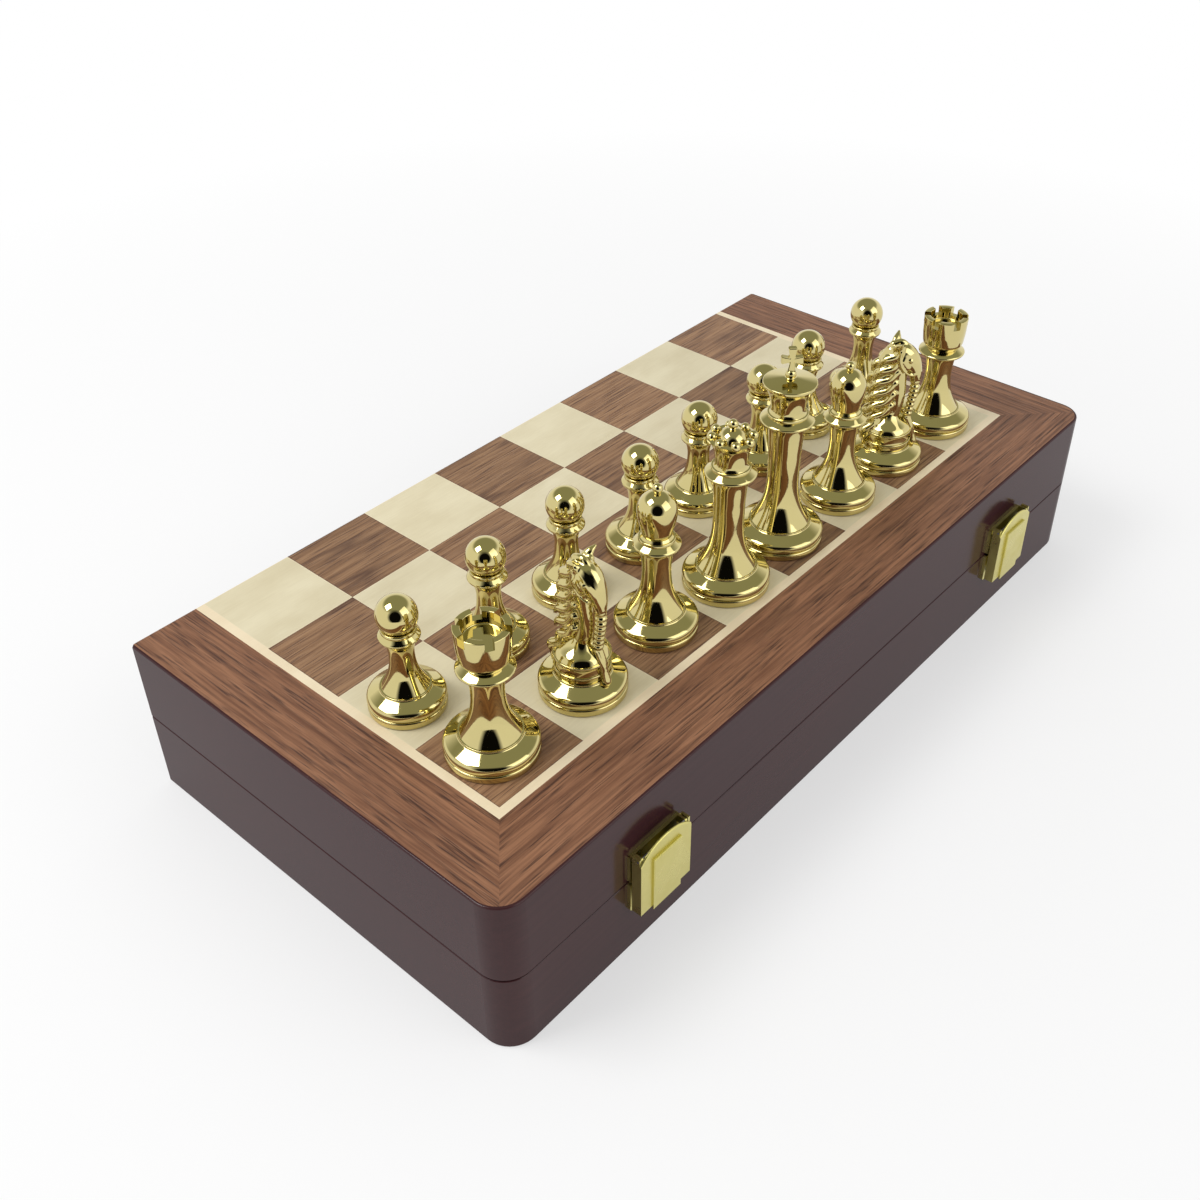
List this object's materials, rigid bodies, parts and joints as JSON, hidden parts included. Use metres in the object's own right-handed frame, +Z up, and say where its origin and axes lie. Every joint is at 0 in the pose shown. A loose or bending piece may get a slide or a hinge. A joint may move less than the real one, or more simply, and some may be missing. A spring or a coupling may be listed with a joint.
{
  "type": "folding chess set",
  "caption": "Hinged wooden case that opens into a chess board, with latches, foam troughs for the men, gold men standing on the closed lid and silver men inside.",
  "frame": {"origin": "on the resting face, below the centre of the closed case's wooden body", "axes": "+X along the case, -Y out of the latch side, +Y out of the hinge side, +Z up"},
  "size_m": [0.3, 0.1576, 0.1223],
  "materials": {
    "lacquered_wood": "gloss dark brown lacquer",
    "rosewood": "satin red-brown veneer with dark streaks",
    "maple": "satin pale veneer",
    "foam_lining": "flocked black foam",
    "gold_men": "polished gold plate",
    "silver_men": "polished silver plate",
    "latch_brass": "bright plated sheet",
    "hinge_brass": "bright plated sheet",
    "steel_pins": "plain steel wire"
  },
  "bodies": {
    "upper_half": {"upper_deck": "lacquered_wood", "upper_front_rail": "lacquered_wood", "upper_back_rail": "lacquered_wood", "upper_near_rail": "lacquered_wood", "upper_far_rail": "lacquered_wood", "upper_front_border": "rosewood", "upper_near_border": "rosewood", "upper_far_border": "rosewood", "upper_stringing": "maple", "upper_dark_squares": "rosewood", "upper_light_squares": "maple", "upper_foam": "foam_lining", "hinge_upper_leaves": "hinge_brass", "hinge_upper_screws": "hinge_brass", "hinge_pins": "steel_pins", "latch_plates": "latch_brass", "latch_pins": "steel_pins", "latch_plate_nails": "latch_brass"},
    "lower_half": {"lower_deck": "lacquered_wood", "lower_front_rail": "lacquered_wood", "lower_back_rail": "lacquered_wood", "lower_near_rail": "lacquered_wood", "lower_far_rail": "lacquered_wood", "lower_front_border": "rosewood", "lower_near_border": "rosewood", "lower_far_border": "rosewood", "lower_stringing": "maple", "lower_dark_squares": "rosewood", "lower_light_squares": "maple", "lower_foam": "foam_lining", "hinge_lower_leaves": "hinge_brass", "hinge_lower_screws": "hinge_brass", "latch_keepers": "latch_brass", "latch_keeper_nails": "latch_brass", "silver_king": "silver_men", "silver_queen": "silver_men", "silver_bishops": "silver_men", "silver_knights": "silver_men", "silver_rooks": "silver_men", "silver_pawns": "silver_men"},
    "near_latch": {"near_latch_flap": "latch_brass"},
    "far_latch": {"far_latch_flap": "latch_brass"},
    "gold_near_rook": {"gold_near_rook": "gold_men"},
    "gold_near_knight": {"gold_near_knight": "gold_men"},
    "gold_near_bishop": {"gold_near_bishop": "gold_men"},
    "gold_queen": {"gold_queen": "gold_men"},
    "gold_king": {"gold_king": "gold_men"},
    "gold_far_bishop": {"gold_far_bishop": "gold_men"},
    "gold_far_knight": {"gold_far_knight": "gold_men"},
    "gold_far_rook": {"gold_far_rook": "gold_men"},
    "gold_pawn_1": {"gold_pawn_1": "gold_men"},
    "gold_pawn_2": {"gold_pawn_2": "gold_men"},
    "gold_pawn_3": {"gold_pawn_3": "gold_men"},
    "gold_pawn_4": {"gold_pawn_4": "gold_men"},
    "gold_pawn_5": {"gold_pawn_5": "gold_men"},
    "gold_pawn_6": {"gold_pawn_6": "gold_men"},
    "gold_pawn_7": {"gold_pawn_7": "gold_men"},
    "gold_pawn_8": {"gold_pawn_8": "gold_men"}
  },
  "joints": [
    {"name": "case_fold", "type": "hinge", "parent": "upper_half", "child": "lower_half", "pos_m": [0, 0.07515, 0.0275], "axis": [1, 0, 0], "range_deg": [0, 180]},
    {"name": "near_latch_swing", "type": "hinge", "parent": "upper_half", "child": "near_latch", "pos_m": [-0.0946, -0.0785, 0.038], "axis": [-1, 0, 0], "range_deg": [0, 90]},
    {"name": "far_latch_swing", "type": "hinge", "parent": "upper_half", "child": "far_latch", "pos_m": [0.0946, -0.0785, 0.038], "axis": [-1, 0, 0], "range_deg": [0, 90]},
    {"name": "gold_near_rook_lift", "type": "slide", "parent": "upper_half", "child": "gold_near_rook", "axis": [0, 0, 1], "range_m": [0, 0.075]},
    {"name": "gold_near_knight_lift", "type": "slide", "parent": "upper_half", "child": "gold_near_knight", "axis": [0, 0, 1], "range_m": [0, 0.075]},
    {"name": "gold_near_bishop_lift", "type": "slide", "parent": "upper_half", "child": "gold_near_bishop", "axis": [0, 0, 1], "range_m": [0, 0.075]},
    {"name": "gold_queen_lift", "type": "slide", "parent": "upper_half", "child": "gold_queen", "axis": [0, 0, 1], "range_m": [0, 0.075]},
    {"name": "gold_king_lift", "type": "slide", "parent": "upper_half", "child": "gold_king", "axis": [0, 0, 1], "range_m": [0, 0.075]},
    {"name": "gold_far_bishop_lift", "type": "slide", "parent": "upper_half", "child": "gold_far_bishop", "axis": [0, 0, 1], "range_m": [0, 0.075]},
    {"name": "gold_far_knight_lift", "type": "slide", "parent": "upper_half", "child": "gold_far_knight", "axis": [0, 0, 1], "range_m": [0, 0.075]},
    {"name": "gold_far_rook_lift", "type": "slide", "parent": "upper_half", "child": "gold_far_rook", "axis": [0, 0, 1], "range_m": [0, 0.075]},
    {"name": "gold_pawn_1_lift", "type": "slide", "parent": "upper_half", "child": "gold_pawn_1", "axis": [0, 0, 1], "range_m": [0, 0.075]},
    {"name": "gold_pawn_2_lift", "type": "slide", "parent": "upper_half", "child": "gold_pawn_2", "axis": [0, 0, 1], "range_m": [0, 0.075]},
    {"name": "gold_pawn_3_lift", "type": "slide", "parent": "upper_half", "child": "gold_pawn_3", "axis": [0, 0, 1], "range_m": [0, 0.075]},
    {"name": "gold_pawn_4_lift", "type": "slide", "parent": "upper_half", "child": "gold_pawn_4", "axis": [0, 0, 1], "range_m": [0, 0.075]},
    {"name": "gold_pawn_5_lift", "type": "slide", "parent": "upper_half", "child": "gold_pawn_5", "axis": [0, 0, 1], "range_m": [0, 0.075]},
    {"name": "gold_pawn_6_lift", "type": "slide", "parent": "upper_half", "child": "gold_pawn_6", "axis": [0, 0, 1], "range_m": [0, 0.075]},
    {"name": "gold_pawn_7_lift", "type": "slide", "parent": "upper_half", "child": "gold_pawn_7", "axis": [0, 0, 1], "range_m": [0, 0.075]},
    {"name": "gold_pawn_8_lift", "type": "slide", "parent": "upper_half", "child": "gold_pawn_8", "axis": [0, 0, 1], "range_m": [0, 0.075]}
  ]
}
